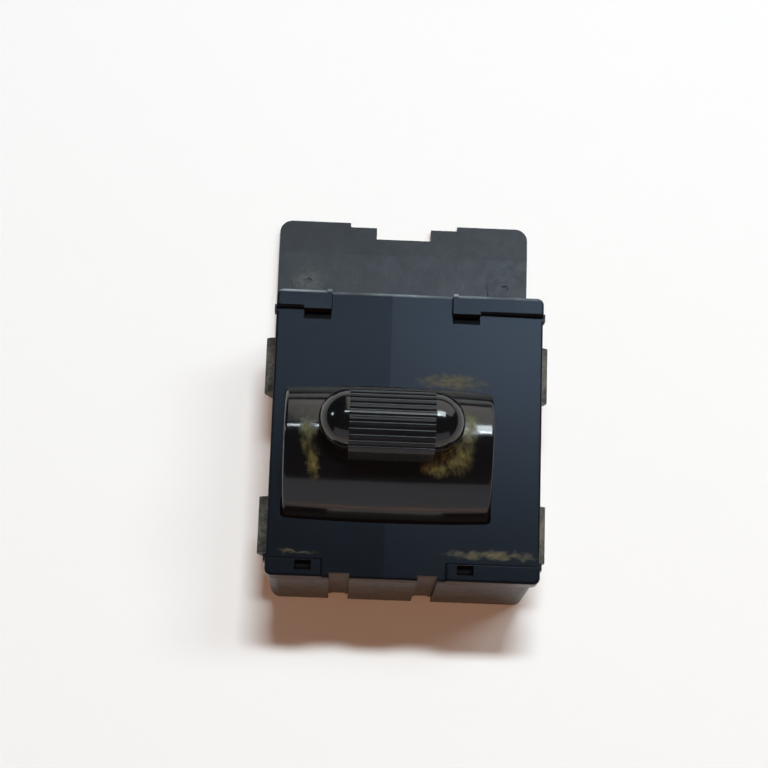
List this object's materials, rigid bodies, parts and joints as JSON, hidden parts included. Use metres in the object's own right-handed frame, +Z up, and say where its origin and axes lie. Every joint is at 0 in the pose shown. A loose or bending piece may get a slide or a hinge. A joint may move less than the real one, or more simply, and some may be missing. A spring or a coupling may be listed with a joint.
{
  "type": "power window switch",
  "caption": "Single power window switch with a snap-in housing, a rear flange, a latched cover and a sprung drum rocker with a ribbed grip.",
  "frame": {"origin": "middle of the bounding box's underside, on the base", "axes": "+X along the rocker's axis to the right, +Y to the rear flange, +Z up from the base through the cover"},
  "size_m": [0.0432, 0.0616, 0.0391],
  "materials": {
    "housing_plastic": "black moulded nylon, satin",
    "cover_plastic": "blue-black moulded plastic, satin",
    "rocker_plastic": "black, polished",
    "grip_plastic": "charcoal, ribbed, satin",
    "carrier_plastic": "brown phenolic, matte",
    "plunger_nylon": "natural nylon",
    "spring_steel": "spring wire",
    "lever_copper": "rolled copper strip",
    "contact_silver": "silver alloy, satin",
    "terminal_brass": "stamped brass, tin bright"
  },
  "bodies": {
    "housing": {"base_housing": "housing_plastic", "top_cover": "cover_plastic", "contact_carrier": "carrier_plastic", "common_terminal_left": "terminal_brass", "front_terminal_left": "terminal_brass", "rear_terminal_left": "terminal_brass", "front_contact_left": "contact_silver", "rear_contact_left": "contact_silver", "common_terminal_right": "terminal_brass", "front_terminal_right": "terminal_brass", "rear_terminal_right": "terminal_brass", "front_contact_right": "contact_silver", "rear_contact_right": "contact_silver"},
    "rocker": {"rocker": "rocker_plastic", "grip": "grip_plastic", "plunger_spring_left": "spring_steel", "plunger_spring_right": "spring_steel"},
    "plunger_left": {"plunger_left": "plunger_nylon"},
    "lever_left": {"contact_lever_left": "lever_copper", "lever_contacts_left": "contact_silver"},
    "plunger_right": {"plunger_right": "plunger_nylon"},
    "lever_right": {"contact_lever_right": "lever_copper", "lever_contacts_right": "contact_silver"}
  },
  "joints": [
    {"name": "rocker_turn", "type": "hinge", "parent": "housing", "child": "rocker", "pos_m": [-0.0027, -0.0102, 0.0235], "axis": [1, 0, 0], "range_deg": [-10, 10], "stiffness_Nm_per_rad": 0.25},
    {"name": "lever_left_tilt", "type": "hinge", "parent": "housing", "child": "lever_left", "pos_m": [-0.0082, -0.0102, 0.0138], "axis": [1, 0, 0], "range_deg": [-5, 5]},
    {"name": "plunger_left_slide", "type": "slide", "parent": "rocker", "child": "plunger_left", "axis": [0, 0, 1], "range_m": [0, 0.0006], "stiffness_N_per_m": 900, "springref_m": -0.002, "deforming": ["plunger_spring_left"]},
    {"name": "lever_right_tilt", "type": "hinge", "parent": "housing", "child": "lever_right", "pos_m": [0.0028, -0.0102, 0.0138], "axis": [1, 0, 0], "range_deg": [-5, 5]},
    {"name": "plunger_right_slide", "type": "slide", "parent": "rocker", "child": "plunger_right", "axis": [0, 0, 1], "range_m": [0, 0.0006], "stiffness_N_per_m": 900, "springref_m": -0.002, "deforming": ["plunger_spring_right"]}
  ],
  "couplings": [
    {"joint": "lever_left_tilt", "follows": "rocker_turn", "ratio": -0.5},
    {"joint": "lever_right_tilt", "follows": "rocker_turn", "ratio": -0.5}
  ]
}
